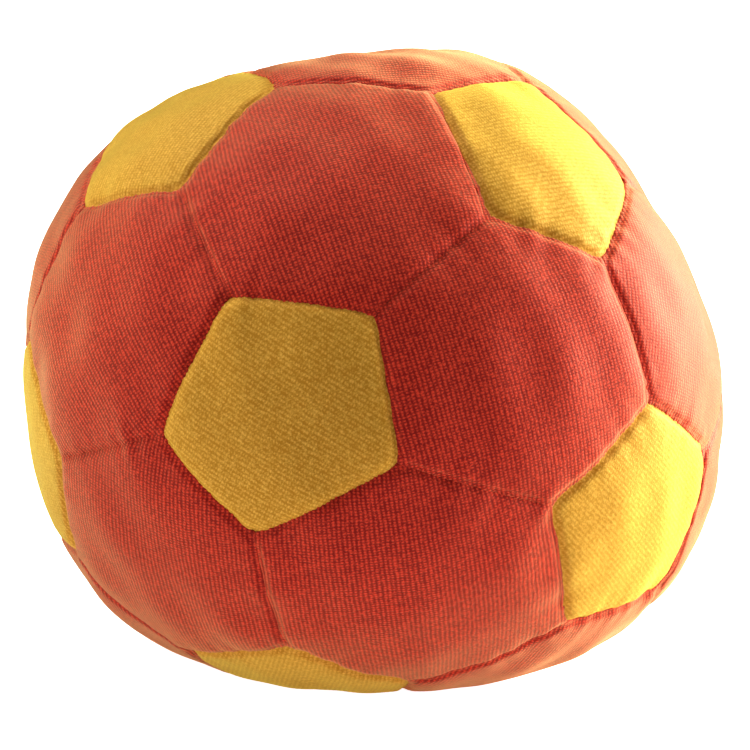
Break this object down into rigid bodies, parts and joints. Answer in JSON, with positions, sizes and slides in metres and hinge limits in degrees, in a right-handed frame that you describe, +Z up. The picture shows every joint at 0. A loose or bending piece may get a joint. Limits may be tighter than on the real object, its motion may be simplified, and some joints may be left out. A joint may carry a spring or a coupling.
{
  "type": "juggling ball",
  "caption": "Soft round juggling ball sewn from yellow velour pentagons and orange-red velour hexagons, stuffed with fibre round a pouch of pellets, resting on a slightly flattened foot.",
  "frame": {"origin": "middle of the flat foot that the ball rests on, straight under the ball's centre", "axes": "+Z up out of the foot, -Y towards the front half of the cover, +X to the right seen from the front"},
  "size_m": [0.1002, 0.1016, 0.0906],
  "materials": {
    "yellow_velour": "knitted velour, short matt pile with a pale sheen at grazing angles",
    "red_velour": "knitted velour, short matt pile with a pale sheen at grazing angles",
    "seam_thread": "spun polyester sewing thread",
    "stuffing": "carded polyester fibre",
    "pouch_cloth": "plain woven cotton",
    "pouch_thread": "spun polyester sewing thread",
    "pellets": "smooth moulded granules"
  },
  "bodies": {
    "root": {"pentagon_panel_01": "yellow_velour", "pentagon_panel_02": "yellow_velour", "pentagon_panel_03": "yellow_velour", "pentagon_panel_04": "yellow_velour", "pentagon_panel_05": "yellow_velour", "pentagon_panel_06": "yellow_velour", "pentagon_panel_07": "yellow_velour", "pentagon_panel_08": "yellow_velour", "pentagon_panel_09": "yellow_velour", "pentagon_panel_10": "yellow_velour", "pentagon_panel_11": "yellow_velour", "pentagon_panel_12": "yellow_velour", "hexagon_panel_01": "red_velour", "hexagon_panel_02": "red_velour", "hexagon_panel_03": "red_velour", "hexagon_panel_04": "red_velour", "hexagon_panel_05": "red_velour", "hexagon_panel_06": "red_velour", "hexagon_panel_07": "red_velour", "hexagon_panel_08": "red_velour", "hexagon_panel_09": "red_velour", "hexagon_panel_10": "red_velour", "hexagon_panel_11": "red_velour", "hexagon_panel_12": "red_velour", "hexagon_panel_13": "red_velour", "hexagon_panel_14": "red_velour", "hexagon_panel_15": "red_velour", "hexagon_panel_16": "red_velour", "hexagon_panel_17": "red_velour", "hexagon_panel_18": "red_velour", "hexagon_panel_19": "red_velour", "hexagon_panel_20": "red_velour", "front_half_seam_thread": "seam_thread", "back_half_seam_thread": "seam_thread", "joining_seam_thread": "seam_thread", "closing_seam_thread": "seam_thread", "front_stuffing_wad": "stuffing", "back_stuffing_wad": "stuffing", "pouch_upper_disc": "pouch_cloth", "pouch_lower_disc": "pouch_cloth", "pouch_seam_thread": "pouch_thread", "pellet_fill": "pellets"}
  },
  "joints": []
}
